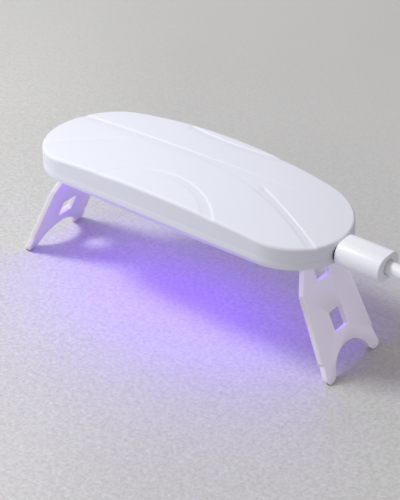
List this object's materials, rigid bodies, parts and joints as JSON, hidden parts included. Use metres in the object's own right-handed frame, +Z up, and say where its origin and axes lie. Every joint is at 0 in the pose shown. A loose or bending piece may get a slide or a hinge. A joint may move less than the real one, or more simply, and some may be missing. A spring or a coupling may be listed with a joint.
{
  "type": "nail lamp",
  "caption": "Folding nail-curing lamp: low arched housing on splayed fold-out legs, domed light sources facing down between them, a push button in one end and a charging lead in the other.",
  "frame": {"origin": "on the floor under the middle of the lamp", "axes": "+X along the lamp towards the end with the lead, +Y across it, +Z up; the lamp stands open on its feet"},
  "size_m": [0.2786, 0.07, 0.0597],
  "materials": {
    "white_gloss": "gloss",
    "milky_plastic": "satin",
    "reflector": "polished",
    "clear_lens": "clear",
    "lamp_light": "gloss",
    "board": "matte",
    "black_plastic": "matte",
    "capacitor_body": "matte",
    "bright_steel": "bright",
    "white_plug": "satin",
    "white_cable": "satin"
  },
  "bodies": {
    "housing": {"top_cover": "white_gloss", "bottom_shell": "white_gloss", "reflector_plate": "reflector", "lens_1": "clear_lens", "lens_2": "clear_lens", "lens_3": "clear_lens", "lens_4": "clear_lens", "lens_5": "clear_lens", "lens_6": "clear_lens", "led_1": "lamp_light", "led_2": "lamp_light", "led_3": "lamp_light", "led_4": "lamp_light", "led_5": "lamp_light", "led_6": "lamp_light", "lamp_board": "board", "driver_chip": "black_plastic", "resistors": "black_plastic", "capacitor": "capacitor_body", "socket_board": "board", "switch_board": "board", "usb_socket": "bright_steel", "usb_socket_tongue": "black_plastic", "tact_switch": "black_plastic", "case_screws": "bright_steel"},
    "leg_left": {"leg_left": "milky_plastic"},
    "leg_right": {"leg_right": "milky_plastic"},
    "button": {"power_button": "white_gloss", "switch_plunger": "black_plastic"},
    "lead": {"plug_grip": "white_plug", "plug_nose": "bright_steel", "lead_cable": "white_cable", "lead_coil": "white_cable", "usb_a_grip": "white_plug", "usb_a_shell": "bright_steel", "usb_a_tongue": "white_plug"}
  },
  "joints": [
    {"name": "right_leg_hinge", "type": "hinge", "parent": "housing", "child": "leg_right", "pos_m": [0.0538, 0, 0.04659], "axis": [0, 1, 0], "range_deg": [0, 114.4]},
    {"name": "left_leg_hinge", "type": "hinge", "parent": "housing", "child": "leg_left", "pos_m": [-0.0538, 0, 0.04659], "axis": [0, -1, 0], "range_deg": [0, 114.4]},
    {"name": "button_press", "type": "slide", "parent": "housing", "child": "button", "axis": [1, 0, 0], "range_m": [0, 0.0004], "stiffness_N_per_m": 4000, "springref_m": -0.0001},
    {"name": "plug_pull", "type": "slide", "parent": "housing", "child": "lead", "axis": [1, 0, 0], "range_m": [0, 0.01]}
  ]
}
